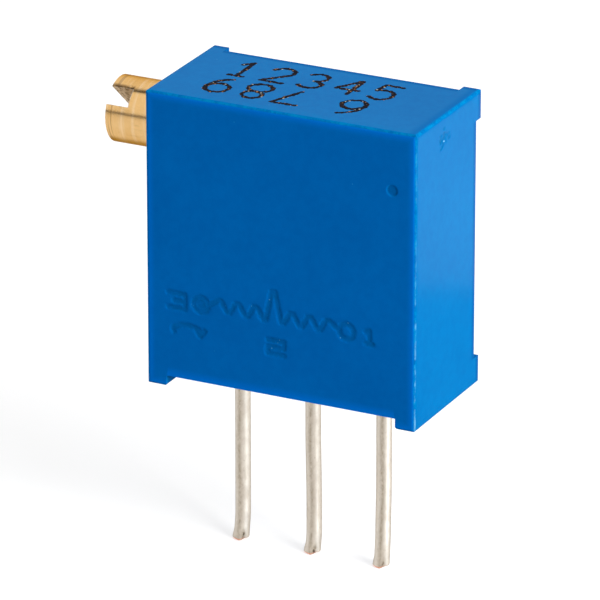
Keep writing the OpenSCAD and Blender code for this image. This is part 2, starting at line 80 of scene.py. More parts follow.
class Mat:
    """A procedural material: a Principled shader, with small helpers that add nodes to it."""

    def __init__(self, name, **constants):
        self.material = bpy.data.materials.new(name)
        self.material.use_nodes = True
        self.tree = self.material.node_tree
        self.shader = self.tree.nodes["Principled BSDF"]
        for socket, value in constants.items():
            self.shader.inputs[socket.replace("_", " ")].default_value = value
        self.place = self.add("ShaderNodeTexCoord").outputs["Object"]

    def add(self, kind, **settings):
        """A new node with the settings given."""
        node = self.tree.nodes.new(kind)
        for key, value in settings.items():
            setattr(node, key, value)
        return node

    def put(self, value, socket):
        """Links a socket to a socket, or sets a constant on it. None leaves it as it is."""
        if isinstance(value, bpy.types.NodeSocket):
            self.tree.links.new(value, socket)
        elif value is not None:
            socket.default_value = value

    def scaled(self, sx, sy, sz):
        """The place on the object, with each axis scaled."""
        node = self.add("ShaderNodeMapping")
        self.put(self.place, node.inputs["Vector"])
        node.inputs["Scale"].default_value = (sx, sy, sz)
        return node.outputs["Vector"]

    def noise(self, per_mm, detail, rough, stretch=(1, 1, 1), *, seed):
        """Cloudy noise from 0 to 1. A stretch below 1 draws it out along that axis."""
        node = self.add("ShaderNodeTexNoise", noise_dimensions="4D")
        self.put(self.scaled(*stretch), node.inputs["Vector"])
        node.inputs["W"].default_value = seed
        node.inputs["Scale"].default_value = per_mm / MM
        node.inputs["Detail"].default_value = detail
        node.inputs["Roughness"].default_value = rough
        return node.outputs["Fac"]

    def cells(self, per_mm, seed):
        """Distance to the nearest of many scattered points, in cell widths."""
        node = self.add("ShaderNodeTexVoronoi", voronoi_dimensions="4D")
        self.put(self.place, node.inputs["Vector"])
        node.inputs["W"].default_value = seed
        node.inputs["Scale"].default_value = per_mm / MM
        return node.outputs["Distance"]

    def span(self, value, lo, hi, to_lo=0.0, to_hi=1.0):
        """Maps lo..hi to to_lo..to_hi, clamped, with a smooth step."""
        node = self.add("ShaderNodeMapRange", interpolation_type="SMOOTHSTEP")
        self.put(value, node.inputs["Value"])
        for key, number in (("From Min", lo), ("From Max", hi), ("To Min", to_lo), ("To Max", to_hi)):
            node.inputs[key].default_value = number
        return node.outputs["Result"]

    def calc(self, operation, a, b=None):
        """One step of arithmetic."""
        node = self.add("ShaderNodeMath", operation=operation)
        self.put(a, node.inputs[0])
        self.put(b, node.inputs[1])
        return node.outputs[0]

    def times(self, product, *factors):
        for factor in factors:
            product = self.calc("MULTIPLY", product, factor)
        return product

    def minus(self, a, b):
        return self.calc("SUBTRACT", a, b)

    def size_of(self, value):
        """The value without its sign."""
        return self.calc("ABSOLUTE", value)

    def least(self, smallest, *others):
        for other in others:
            smallest = self.calc("MINIMUM", smallest, other)
        return smallest

    def blend(self, share, a, b):
        """Colour a where share is 0 and colour b where it is 1."""
        node = self.add("ShaderNodeMix", data_type="RGBA")
        self.put(share, node.inputs[0])
        self.put((*a, 1) if isinstance(a, tuple) else a, node.inputs[6])
        self.put((*b, 1) if isinstance(b, tuple) else b, node.inputs[7])
        return node.outputs[2]

    def axis(self, letter):
        """The place on the object along one axis, in metres."""
        node = self.add("ShaderNodeSeparateXYZ")
        self.put(self.place, node.inputs[0])
        return node.outputs[letter]

    def facing(self, letter):
        """How far the surface looks along an axis, from -1 to 1."""
        node = self.add("ShaderNodeSeparateXYZ")
        self.put(self.add("ShaderNodeNewGeometry").outputs["Normal"], node.inputs[0])
        return node.outputs[letter]

    def rounded_edges(self):
        """1 where the surface looks along none of the three axes, as the rounded edges of a box do."""
        most = self.size_of(self.facing("X"))
        for letter in "YZ":
            most = self.calc("MAXIMUM", most, self.size_of(self.facing(letter)))
        return self.span(most, 0.84, 0.97, 1.0, 0.0)

    def front_or_back(self):
        """1 on a face that looks to the front or the back, less where it turns away."""
        return self.span(self.size_of(self.facing("Y")), 0.75, 0.99)

    def painted(self, name):
        """A number that the mesh holds at each of its points."""
        return self.add("ShaderNodeAttribute", attribute_name=name).outputs["Fac"]

    def finish(self, colour, roughness, height, bump_mm, strength):
        """Joins what was made to the shader, and gives the material."""
        self.put(colour, self.shader.inputs["Base Color"])
        self.put(roughness, self.shader.inputs["Roughness"])
        bump = self.add("ShaderNodeBump")
        bump.inputs["Strength"].default_value = strength
        bump.inputs["Distance"].default_value = bump_mm * MM
        self.put(height, bump.inputs["Height"])
        self.put(bump.outputs["Normal"], self.shader.inputs["Normal"])
        return self.material


def dress(name, material):
    """Gives a CAD node its material."""
    data = nodes[name].data
    data.materials.clear()
    data.materials.append(material)


# Marks that the mould and the marker leave ------------------------------------------------------

def arc(cx, cy, rx, ry, start, end, steps=14):
    """Points on an ellipse from angle start to angle end, in degrees."""
    turns = [math.radians(start + (end - start) * i / steps) for i in range(steps + 1)]
    return [(cx + rx * math.cos(t), cy + ry * math.sin(t)) for t in turns]


# Strokes of plain digits in a box that is one wide and one high
DIGITS = {
    "1": [[(0.18, 0.78), (0.52, 1.0), (0.52, 0.0)], [(0.15, 0.0), (0.9, 0.0)]],
    "2": [arc(0.5, 0.72, 0.48, 0.28, 165, -35) + [(0.0, 0.0), (1.0, 0.0)]],
    "3": [arc(0.47, 0.74, 0.42, 0.26, 150, -90), arc(0.47, 0.25, 0.50, 0.25, 88, -155)],
    "4": [[(0.74, 0.0), (0.74, 1.0), (0.0, 0.32), (1.0, 0.32)]],
    "5": [[(0.92, 1.0), (0.14, 1.0), (0.08, 0.56)] + arc(0.46, 0.33, 0.50, 0.33, 120, -150)],
    "6": [arc(0.5, 0.31, 0.48, 0.31, 0, 360, 24), arc(0.86, 0.31, 0.84, 0.69, 180, 98)],
    "7": [[(0.0, 1.0), (1.0, 1.0), (0.36, 0.0)]],
    "8": [arc(0.5, 0.76, 0.40, 0.24, 0, 360, 20), arc(0.5, 0.26, 0.50, 0.26, 0, 360, 24)],
    "9": [arc(0.5, 0.69, 0.48, 0.31, 0, 360, 24), arc(0.14, 0.69, 0.84, 0.69, 0, -82)],
}


def placed(strokes, left, low, width, height, turned=False):
    """Strokes moved to a box whose lower left corner is at left, low, and upside down if turned."""
    def at(x, y):
        x, y = (1 - x, 1 - y) if turned else (x, y)
        return left + width * x, low + height * y
    return [[at(*p) for p in stroke] for stroke in strokes]


def near_strokes(points, strokes):
    """Distance of each point to the nearest stroke."""
    best = np.full(len(points), np.inf)
    for stroke in strokes:
        for a, b in zip(stroke, stroke[1:]):
            a, b = np.array(a), np.array(b)
            along = np.clip((points - a) @ (b - a) / max((b - a) @ (b - a), TINY), 0, 1)
            best = np.minimum(best, np.linalg.norm(points - a - along[:, None] * (b - a), axis=1))
    return best


def symbol_strokes():
    """Pin plan on the front, in mm: two end terminals, a zigzag between them and three pin numbers."""
    line_height, valley, tooth, peak = 3.04, 2.94, 3.29, 3.93
    pitch, middle, half_length = 0.64, -0.24, 2.58
    # radius of a terminal, and of the ring inside it that fills the left one
    ring, filling = 0.25, 0.09
    # half the flat at the tip of a tooth and at the foot of a valley
    tip, foot = 0.06, 0.05
    strokes = []
    ends = (middle - half_length, middle + half_length)
    for x in ends:
        strokes.append(arc(x, line_height, ring, ring, 0, 360, 24))
    strokes.append(arc(ends[0], line_height, filling, filling, 0, 360, 12))
    line = [(ends[0] + ring, line_height)]
    for k in range(-3, 4):
        x = middle + k * pitch
        top = peak if k == 0 else tooth
        line += [(x - tip, top), (x + tip, top)]
        if k < 3:
            x = middle + (k + 0.5) * pitch
            line += [(x - foot, valley), (x + foot, valley)]
    strokes.append(line + [(ends[1] - ring, line_height)])
    # square-built numbers, as a mould cutter makes them, each with its left, low, width and height
    three = [[(0, 1), (1, 1), (1, 0), (0, 0)], [(0.35, 0.5), (1, 0.5)]]
    two = [[(0, 1), (1, 1), (1, 0.5), (0, 0.5), (0, 0), (1, 0)]]
    one = [[(0.1, 0.9), (0.55, 1), (0.55, 0)], [(0.1, 0), (1, 0)]]
    strokes += placed(three, -3.98, 2.78, 0.58, 0.5)
    strokes += placed(two, -0.43, 1.81, 0.56, 0.46)
    strokes += placed(one, 3.01, 2.76, 0.24, 0.43)
    # arrow for the turning direction
    strokes.append(arc(-3.32, 2.04, 0.5, 0.2, 200, -20, 20))
    strokes.append([(-2.98, 2.12), (-2.85, 1.95), (-2.70, 2.13)])
    return strokes


def smooth(t):
    """A smooth step from 0 to 1."""
    t = np.clip(t, 0, 1)
    return t * t * (3 - 2 * t)


def sunk_symbols(points):
    """Depth of the sunk pin plan, in mm."""
    # half a stroke's width, how uneven its edge is, how deep it is, and over what width it slopes
    half_stroke, ragged, depth, soft = 0.090, 0.012, 0.024, 0.10
    dice = np.random.default_rng(5)
    edge = near_strokes(points, symbol_strokes()) - half_stroke + dice.normal(0, ragged, len(points))
    return depth * smooth(0.5 - edge / soft)


def sunk_dot(points):
    """Depth of the small round mark in the upper corner of the front, in mm."""
    centre, radius, depth, soft = (3.92, 8.06), 0.18, 0.032, 0.07
    edge = np.linalg.norm(points - np.array(centre), axis=1) - radius
    return depth * smooth(0.5 - edge / soft)


def gate_scar(points):
    """Rough, low scar of the moulding gate on the plain end, in mm: pits with one proud stub."""
    pits, pit_depth, deepest = 24, 0.012, 0.02
    stub_place, stub_height, stub_radius = (-0.44, 9.20), 0.03, 0.045
    dice = random.Random(11)
    depth = np.zeros(len(points))
    for _ in range(pits):
        spot = np.array((-0.47 + dice.gauss(0, 0.13), 9.22 + dice.gauss(0, 0.19)))
        size = dice.uniform(0.03, 0.065)
        across = (points - spot) * (0.55, 1.0)
        depth += pit_depth * smooth(1.5 - np.linalg.norm(across, axis=1) / size)
    stub = np.linalg.norm(points - np.array(stub_place), axis=1)
    return np.clip(depth, 0, deepest) - stub_height * smooth(1.4 - stub / stub_radius)


# Fine relief on flat faces, in mm: axis that the face looks along, its side, low and high corner of
# the window in the two other axes, grid step, and the function that gives the depth
PANELS = [
    (1, -1, (-4.42, 1.50), (3.74, 4.26), 0.03, sunk_symbols),
    (1, -1, (3.60, 7.74), (4.24, 8.38), 0.02, sunk_dot),
    (0, 1, (-1.05, 8.64), (0.11, 9.78), 0.02, gate_scar),
]


def other_axes(axis):
    return [i for i in range(3) if i != axis]


def open_windows(bm, low, high):
    """Fills the flat faces that carry panels anew, with the panels' windows left open."""
    for axis, side in sorted({panel[:2] for panel in PANELS}):
        level = (high if side > 0 else low)[axis]
        a, b = other_axes(axis)
        # dicts keep their order, which gives the same mesh in each run
        flat = dict.fromkeys(f for f in bm.faces
                             if all(abs(v.co[axis] - level) < SAME_PLACE for v in f.verts))
        edges = dict.fromkeys(e for f in flat for e in f.edges)
        loops = [e for e in edges if any(f not in flat for f in e.link_faces)]
        inside = [e for e in edges if all(f in flat for f in e.link_faces)]
        bmesh.ops.delete(bm, geom=list(flat), context="FACES_ONLY")
        bmesh.ops.delete(bm, geom=inside, context="EDGES")
        for panel in PANELS:
            if panel[:2] != (axis, side):
                continue
            (left, bottom), (right, top) = panel[2:4]
            ring = []
            for across, up in ((left, bottom), (right, bottom), (right, top), (left, top)):
                spot = [level] * 3
                spot[a], spot[b] = across * MM, up * MM
                ring.append(bm.verts.new(spot))
            loops += [bm.edges.new((ring[i], ring[(i + 1) % 4])) for i in range(4)]
        for face in bmesh.ops.triangle_fill(bm, edges=loops, use_beauty=True)["geom"]:
            if isinstance(face, bmesh.types.BMFace):
                face.normal_update()
                if face.normal[axis] * side < 0:
                    face.normal_flip()


def relief_patch(panel, low, high):
    """One panel's grid: places in mm, normals, depths from -1 to 1, and the corners of its quads."""
    axis, side, first, last, step, relief = panel
    level = (high if side > 0 else low)[axis] / MM
    a, b = other_axes(axis)
    count = [max(2, round((last[i] - first[i]) / step)) for i in (0, 1)]
    grid = [np.linspace(first[i], last[i], count[i] + 1) for i in (0, 1)]
    u, v = np.meshgrid(*grid, indexing="ij")
    depth = relief(np.stack([u.ravel(), v.ravel()], 1)).reshape(u.shape)
    depth[0], depth[-1], depth[:, 0], depth[:, -1] = 0, 0, 0, 0
    du, dv = np.gradient(depth, grid[0], grid[1])
    spots, slope = np.zeros((*u.shape, 3)), np.zeros((*u.shape, 3))
    spots[..., axis] = level - side * depth
    spots[..., a], spots[..., b] = u, v
    slope[..., axis] = side
    slope[..., a], slope[..., b] = du, dv
    slope /= np.linalg.norm(slope, axis=-1, keepdims=True)
    share = np.clip(depth / max(depth.max(), TINY), -1, 1)
    rows = u.shape[1]
    right_handed = (axis, a, b) in ((0, 1, 2), (1, 2, 0), (2, 0, 1))
    quads = []
    for i in range(count[0]):
        for j in range(count[1]):
            k = i * rows + j
            quad = [k, k + rows, k + rows + 1, k + 1]
            quads.append(quad if right_handed == (side > 0) else quad[::-1])
    return spots.reshape(-1, 3), slope.reshape(-1, 3), share.ravel(), quads


def moulded_housing(materials):
    """The CAD housing, with windows in its flat faces that fine relief patches fill."""
    source = nodes["housing"].data
    tree = KDTree(len(source.vertices))
    for vertex in source.vertices:
        tree.insert(vertex.co, vertex.index)
    tree.balance()
    # at each CAD point, the normal of each face that meets there and of that face's corner
    corners_at = {}
    for polygon in source.polygons:
        for loop in polygon.loop_indices:
            entry = (polygon.normal.copy(), source.corner_normals[loop].vector.copy())
            corners_at.setdefault(source.loops[loop].vertex_index, []).append(entry)
    low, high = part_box("housing")
    bm = bmesh.new()
    bm.from_mesh(source)
    bmesh.ops.remove_doubles(bm, verts=bm.verts, dist=WELD)
    open_windows(bm, low, high)
    bm.verts.index_update()
    verts = [v.co[:] for v in bm.verts]
    sunk = [0.0] * len(verts)
    faces, slots, normals = [], [], []
    # each corner takes the normal of the CAD face there that looks most the same way
    for face in bm.faces:
        faces.append([v.index for v in face.verts])
        slots.append(0)
        for v in face.verts:
            found = [e for _, i, _ in tree.find_range(v.co, SAME_PLACE) for e in corners_at.get(i, [])]
            best = max(found, key=lambda e: e[0].dot(face.normal), default=(None, face.normal))
            normals.append(best[1][:] if best[1].dot(face.normal) > 0.5 else face.normal[:])
    bm.free()
    for panel in PANELS:
        spots, slope, share, quads = relief_patch(panel, low, high)
        start = len(verts)
        verts += [tuple(spot) for spot in (spots * MM).tolist()]
        sunk += share.tolist()
        slope = slope.tolist()
        for quad in quads:
            faces.append([start + q for q in quad])
            slots.append(1)
            normals += [tuple(slope[q]) for q in quad]
    mesh = bpy.data.meshes.new("moulded_housing")
    mesh.from_pydata(verts, [], faces)
    for material in materials:
        mesh.materials.append(material)
    mesh.polygons.foreach_set("use_smooth", [True] * len(faces))
    mesh.polygons.foreach_set("material_index", slots)
    mesh.normals_split_custom_set(normals)
    mesh.attributes.new("sunk", "FLOAT", "POINT").data.foreach_set("value", sunk)
    shell = add_object("moulded_housing", mesh)
    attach(shell, "root")
    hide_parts("housing")


def cured_potting(material):
    """The CAD potting with a finer back: it climbs a little up the walls and isn't quite flat."""
    # in mm: grid step, climb at the walls and how far in it reaches, sinking of the rest, and waves
    grid_mm, climb_mm, climb_reach, sink, wave_mm = 0.14, 0.06, 0.20, 0.02, 0.006
    low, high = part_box("back_potting")
    bm = bmesh.new()
    bm.from_mesh(nodes["back_potting"].data)
    bmesh.ops.remove_doubles(bm, verts=bm.verts, dist=WELD)

    def on_back(vert):
        return abs(vert.co.y - high.y) < WELD

    def back_faces():
        return [f for f in bm.faces if all(on_back(v) for v in f.verts)]

    flat = dict.fromkeys(back_faces())
    rim = [e for f in flat for e in f.edges if any(g not in flat for g in e.link_faces)]
    rim = [[(v.co.x / MM, v.co.z / MM) for v in e.verts] for e in rim]
    for axis in (0, 2):
        count = round((high[axis] - low[axis]) / (grid_mm * MM))
        for i in range(1, count):
            place, along = Vector(low), Vector((0, 0, 0))
            place[axis] += (high[axis] - low[axis]) * i / count
            along[axis] = 1
            faces = back_faces()
            edges = dict.fromkeys(e for f in faces for e in f.edges)
            verts = dict.fromkeys(v for f in faces for v in f.verts)
            bmesh.ops.bisect_plane(bm, geom=[*verts, *edges, *faces], dist=ON_CUT,
                                   plane_co=place, plane_no=along)
    skin = [v for v in bm.verts if on_back(v)]
    places = np.array([(v.co.x / MM, v.co.z / MM) for v in skin])
    climb = climb_mm * np.exp(-near_strokes(places, rim) / climb_reach)
    x, z = places[:, 0], places[:, 1]
    wave = np.sin(0.9 * x + 0.6 * z) + np.sin(1.3 * z - 0.5 * x + 1)
    for vert, rise in zip(skin, climb - sink + wave_mm * wave):
        vert.co.y += float(rise) * MM
    mesh = bpy.data.meshes.new("cured_potting")
    bm.to_mesh(mesh)
    bm.free()
    mesh.polygons.foreach_set("use_smooth", [True] * len(mesh.polygons))
    mesh.set_sharp_from_angle(angle=math.radians(35))
    mesh.materials.append(material)
    block = add_object("cured_potting", mesh)
    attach(block, "root")
    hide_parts("back_potting")


def ink_marking(material):
    """Two rows of plain digits that a dot marker has printed on the top."""
    # in mm: where each row begins in Y, the digits' height, and their width in each row
    back_row, front_row, high, wide, wider = 0.02, -1.64, 1.31, 0.78, 0.82
    # a dot's radius, the step from dot to dot, and how many corners a dot has
    dot_radius, dot_step, corners = 0.088, 0.075, 10
    # the ink stands this far off the plastic, in mm, and a dot's middle this far above its rim
    lift, crown = 0.002, 0.001
    top = cad_box[1].z / MM + lift
    strokes = []
    for i, digit in enumerate("12345"):
        strokes += placed(DIGITS[digit], -3.15 + 1.24 * i, back_row, wide, high)
    for digit, left in (("9", -3.2), ("8", -1.93), ("7", -0.68), ("6", 1.38)):
        strokes += placed(DIGITS[digit], left, front_row, wider, high, turned=True)
    dice = random.Random(7)
    verts, faces = [], []
    for stroke in strokes:
        along = 0.0
        for (ax, ay), (bx, by) in zip(stroke, stroke[1:]):
            length = math.hypot(bx - ax, by - ay)
            while along <= length:
                x = ax + (bx - ax) * along / max(length, TINY) + dice.gauss(0, 0.008)
                y = ay + (by - ay) * along / max(length, TINY) + dice.gauss(0, 0.012)
                size = dot_radius * dice.uniform(0.74, 1.16)
                rim = top + dice.uniform(0, 0.001)
                start = len(verts)
                verts.append((x * MM, y * MM, (rim + crown) * MM))
                for t in range(corners):
                    turn = 2 * math.pi * t / corners
                    radius = size * dice.uniform(0.82, 1.14)
                    rx, ry = radius * math.cos(turn), radius * math.sin(turn)
                    verts.append(((x + rx) * MM, (y + ry) * MM, rim * MM))
                for t in range(corners):
                    faces.append((start, start + 1 + t, start + 1 + (t + 1) % corners))
                along += dot_step
            along -= length
    mesh = bpy.data.meshes.new("ink_marking")
    mesh.from_pydata(verts, [], faces)
    mesh.materials.append(material)
    ink = add_object("ink_marking", mesh)
    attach(ink, "root")


# Bare wires -------------------------------------------------------------------------------------

# How each bare wire wanders sideways below the body: height and shift along X, in mm
WIRE_SWAY = {
    1: ((0.4, 0.0), (-3.0, 0.005), (-4.6, -0.015), (-6.0, -0.055)),
    2: ((0.4, 0.0), (-1.6, 0.004), (-4.3, 0.045), (-5.2, 0.045), (-6.0, 0.0)),
    3: ((0.4, 0.0), (-2.4, 0.004), (-4.9, 0.0), (-6.0, -0.055)),
}
# Direction of the dark streak down each wire, a painted reflection, in degrees round from +X
WIRE_STREAK = {1: -78, 2: -84, 3: -90}
# Height at which the modelled wire takes over from the CAD pin, in mm
WIRE_JOIN = 0.35


def sway(number, z):
    """Sideways shift of a wire at height z, with a smooth step from each listed height to the next."""
    knots = WIRE_SWAY[number]
    for (za, a), (zb, b) in zip(knots, knots[1:]):
        if z >= zb:
            return a + (b - a) * float(smooth((za - z) / (za - zb)))
    return knots[-1][1]


def bell(angle, middle, width):
    """1 at the middle angle, falling to 0 either side of it. All in degrees."""
    off = (angle - middle + 180) % 360 - 180
    return math.exp(-(off / width) ** 2)


def wire_point(number, angle, up, end, radius, fold):
    """A point on a wire that the cutters have nipped, in mm, at an angle and a height above its end."""
    turn = math.radians(angle)
    # the jaws have left the end broader along X, narrower along Y and a little to the left
    pinch = float(smooth(1 - up / 0.45))
    # the end's right side is drawn up, and its front left keeps the bevel of the shear
    lift = 0.10 * float(smooth((math.cos(turn - math.radians(5)) + 0.1) / 1.1))
    bevel = 0.06 * bell(angle, -125, 50) * max(0.0, 1 - up / 0.065)
    # a crease runs up the front right from the end, and the whole rim is very slightly broken
    crease = 0.035 * bell(angle, fold, 17) * float(smooth(1 - up / 0.6))
    broken = 0.012 * max(0.0, 1 - up / 0.04)
    reach = radius - crease - bevel - broken
    x = reach * math.cos(turn) * (1 + 0.15 * pinch) - 0.03 * pinch
    y = reach * math.sin(turn) * (1 - 0.08 * pinch)
    z = end + up + lift * (1 - float(smooth(up / 0.5)))
    return x + sway(number, z), y, z


def wire_paint(number, angle, up, z, fold):
    """How much painted shade, painted highlight and copper a wire has at a point of its surface, each
    from 0 to 1.
    """
    # painted shade: a dark painted reflection in one long streak, painted shade on three flanks and in
    # the crease at the end
    reflection_streak = 0.60 * bell(angle, WIRE_STREAK[number] + 4 * math.sin(1.7 * z + number), 19)
    flank_shade = 0.65 * bell(angle, 15, 19) + 0.25 * bell(angle, -150, 20) + 0.35 * bell(angle, 105, 15)
    crease_shade = bell(angle, fold - 8, 20) * float(smooth(1.2 - up / 0.5))
    # painted highlight: a bright band down each wire
    shine = bell(angle, -33 + 3 * math.sin(1.3 * z + 2 * number), 14)
    # copper shows on the sheared side of the end, and a little close under the body
    sheared = bell(angle, -130, 60) * float(smooth((0.08 - up) / 0.02))
    copper = max(sheared, 0.5 * float(smooth((z + 0.6) / 0.7)))
    return max(reflection_streak, crease_shade, flank_shade), shine, copper


def cropped_pin(number, material):
    """A terminal pin whose bare wire is slightly bent and whose end the cutters have nipped."""
    name = f"terminal_pin_{number}"
    low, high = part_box(name)
    middle = (low + high) / 2
    # direction of the crease at the end, in degrees round from +X
    fold = -47 + 4 * (number - 2)
    dice = random.Random(40 + number)
    bm = bmesh.new()
    bm.from_mesh(nodes[name].data)
    bmesh.ops.remove_doubles(bm, verts=bm.verts, dist=WELD)
    bmesh.ops.bisect_plane(bm, geom=bm.verts[:] + bm.edges[:] + bm.faces[:], dist=ON_CUT,
                           plane_co=(0, 0, WIRE_JOIN * MM), plane_no=(0, 0, 1), clear_inner=True)
    painted_shade = bm.verts.layers.float.new("painted_shade")
    copper = bm.verts.layers.float.new("copper")
    shine = bm.verts.layers.float.new("shine")

    def direction(vert):
        return math.atan2(vert.co.y - middle.y, vert.co.x - middle.x)

    above = sorted({v for e in bm.edges if e.is_boundary for v in e.verts}, key=direction)
    angles = [math.degrees(direction(v)) for v in above]
    radius = (high.y - middle.y) / MM
    end = low.z / MM
    # heights of the rings above the wire's end, in mm: close together at the end, then every tenth
    heights = [0.0, 0.02, 0.04, 0.06, 0.085, 0.115, 0.15, 0.19, 0.235, 0.285, 0.34, 0.40, 0.47, 0.55]
    while end + heights[-1] + 0.1 < WIRE_JOIN - 0.05:
        heights.append(heights[-1] + 0.1)
    for up in reversed(heights):
        ring = []
        for angle in angles:
            x, y, z = wire_point(number, angle, up, end, radius, fold)
            vert = bm.verts.new((middle.x + x * MM, middle.y + y * MM, z * MM))
            # each point takes its painted shade, painted highlight and copper
            shade_share, vert[shine], vert[copper] = wire_paint(number, angle, up, z, fold)
            vert[painted_shade] = min(1.0, shade_share + dice.uniform(0, 0.08))
            ring.append(vert)
        for k in range(len(ring)):
            bm.faces.new((above[k - 1], ring[k - 1], ring[k], above[k]))
        above = ring
    centre = bm.verts.new(sum((v.co for v in above), Vector()) / len(above))
    centre[copper] = 0.9
    for k in range(len(above)):
        bm.faces.new((above[k - 1], centre, above[k]))
    bmesh.ops.recalc_face_normals(bm, faces=bm.faces)
    mesh = bpy.data.meshes.new(f"cropped_pin_{number}")
    bm.to_mesh(mesh)
    bm.free()
    mesh.polygons.foreach_set("use_smooth", [True] * len(mesh.polygons))
    mesh.set_sharp_from_angle(angle=math.radians(42))
    mesh.materials.append(material)
    pin = add_object(f"cropped_pin_{number}", mesh)
    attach(pin, "root")
    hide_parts(name)


# Materials --------------------------------------------------------------------------------------

def sunk_marks_with_shade(m, colour):
    """Sunk marks are darker on their floor, with painted shade darker still on their walls, and a few
    pale chips.
    """
    floor = m.span(m.painted("sunk"), 0.0, 1.0)
    wall_shade = m.minus(1.0, m.calc("MAXIMUM", m.front_or_back(), m.facing("X")))
    blotches = m.span(m.noise(9, 4, 0.7, seed=24.0), 0.35, 0.65, 0.14, 0.38)
    blotches = m.times(blotches, m.span(m.facing("X"), 0.2, 0.8, 1.0, 1.2))
    colour = m.blend(m.times(floor, blotches), colour, (0.0, 0.08, 0.20))
    # painted shade on the walls of the sunk marks
    colour = m.blend(m.times(floor, wall_shade, 0.22), colour, (0.0, 0.05, 0.17))
    chip = m.times(floor, m.span(m.cells(6, seed=18.0), 0.10, 0.18, 0.7, 0.0))
    colour = m.blend(chip, colour, (0.10, 0.38, 0.64))
    # what stands proud, such as the stub of the gate, is painted paler
    return m.blend(m.span(m.painted("sunk"), -0.7, -0.2, 0.9, 0.0), colour, (0.28, 0.62, 0.80))


def edges_with_wear_and_painted_light(m, colour):
    """Wear and painted highlights on the rounded edges of the body, and painted light and shade in the
    paler or deeper bands on the faces beside them.
    """
    # all in mm: how high the feet are, and how far from the middle they begin, in X
    foot_height, foot_from, foot_to = 0.38, 4.0, 4.1
    # how far from the middle the back pads begin, in X and in Z, and where the middle is in Z
    pad_x, pad_z, pad_blur, middle_height = 4.165, 4.055, 0.005, 5.015
    # how far back the rim reaches, and how much further back the deeper band lies on the pads
    rim_depth, pad_shift = 1.99, 0.33
    low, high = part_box("housing")
    edge = m.rounded_edges()

    # the edges are paler in places, partly wear from handling and partly painted highlight, most of all
    # the left ones, with pale nicks
    blotches = m.span(m.noise(3, 8, 0.85, seed=16.0), 0.42, 0.58)
    highlight_paint = m.blend(blotches, (0.0, 0.125, 0.42), (0.0, 0.27, 0.58))
    colour = m.blend(m.times(edge, 0.6), colour, highlight_paint)
    # painted highlight: the left edges are painted brighter
    left = m.times(edge, m.span(m.facing("X"), -0.5, -0.3, 1.0, 0.0))
    colour = m.blend(m.times(left, 0.8), colour, (0.0, 0.38, 0.90))

    # painted light: the front is painted paler beside its four edges
    foot = m.span(m.size_of(m.axis("X")), foot_from * MM, foot_to * MM)
    bottom = m.calc("ADD", m.times(foot, -foot_height * MM), low.z + foot_height * MM)
    inset = m.least(m.minus(m.axis("X"), low.x), m.minus(high.x, m.axis("X")),
                    m.minus(m.axis("Z"), bottom), m.minus(high.z, m.axis("Z")))
    glow = m.times(m.span(inset, 0.06 * MM, 0.36 * MM, 1.0, 0.0),
                   m.span(m.facing("Y"), -0.99, -0.8, 1.0, 0.0))
    colour = m.blend(m.times(glow, 0.6), colour, (0.0, 0.19, 0.80))
    # pale nicks on the edges, partly chips and partly painted glints
    nick_and_glint = m.times(edge, m.span(m.cells(6, seed=17.0), 0.10, 0.18, 0.9, 0.0))
    colour = m.blend(nick_and_glint, colour, (0.20, 0.56, 0.80))

    # painted highlight: a thin, broken pale line runs down the upright edges of the right end, clearest
    # low down
    line = m.times(m.span(m.facing("X"), 0.60, 0.74),
                   m.span(m.facing("X"), 0.86, 0.96, 1.0, 0.0),
                   m.span(m.size_of(m.facing("Z")), 0.2, 0.4, 1.0, 0.0),
                   m.span(m.noise(4, 4, 0.7, stretch=(1, 1, 0.5), seed=27.0), 0.44, 0.62),
                   m.span(m.axis("Z"), 3.0 * MM, 6.0 * MM, 0.36, 0.10))
    colour = m.blend(line, colour, (0.32, 0.68, 0.88))

    # the top carries a faint painted sheen, a painted highlight beside its front edge and painted shade
    # beside its right edge, and the top and the right end carry painted shade beside the back
    top = m.span(m.facing("Z"), 0.9, 0.99)
    # painted sheen: a faint pale tint over the top
    colour = m.blend(m.times(top, 0.05), colour, (0.24, 0.20, 0.45))
    # painted highlight beside the front edge of the top
    front = m.span(m.axis("Y"), low.y + 0.16 * MM, low.y + 0.5 * MM, 1.0, 0.0)
    colour = m.blend(m.times(top, front, blotches, 0.5), colour, (0.0, 0.21, 0.53))
    # painted shade beside the right edge of the top
    brink_shade = m.times(top, m.span(m.axis("X"), high.x - 0.42 * MM, high.x - 0.16 * MM))
    colour = m.blend(m.times(brink_shade, 0.7), colour, (0.0, 0.14, 0.45))
    from_middle = m.size_of(m.minus(m.axis("Z"), middle_height * MM))
    pads = m.least(m.span(m.size_of(m.axis("X")), (pad_x - pad_blur) * MM, (pad_x + pad_blur) * MM),
                   m.span(from_middle, (pad_z - pad_blur) * MM, (pad_z + pad_blur) * MM))
    rim = m.calc("ADD", m.times(pads, pad_shift * MM), rim_depth * MM)
    # painted shade beside the back, on the top and the right end
    back_shade = m.times(m.span(m.minus(rim, m.axis("Y")), 0.10 * MM, 0.26 * MM, 1.0, 0.0),
                     m.calc("MAXIMUM", top, m.span(m.facing("X"), 0.9, 0.99)))
    return m.blend(m.times(back_shade, 0.85), colour, (0.0, 0.115, 0.38))


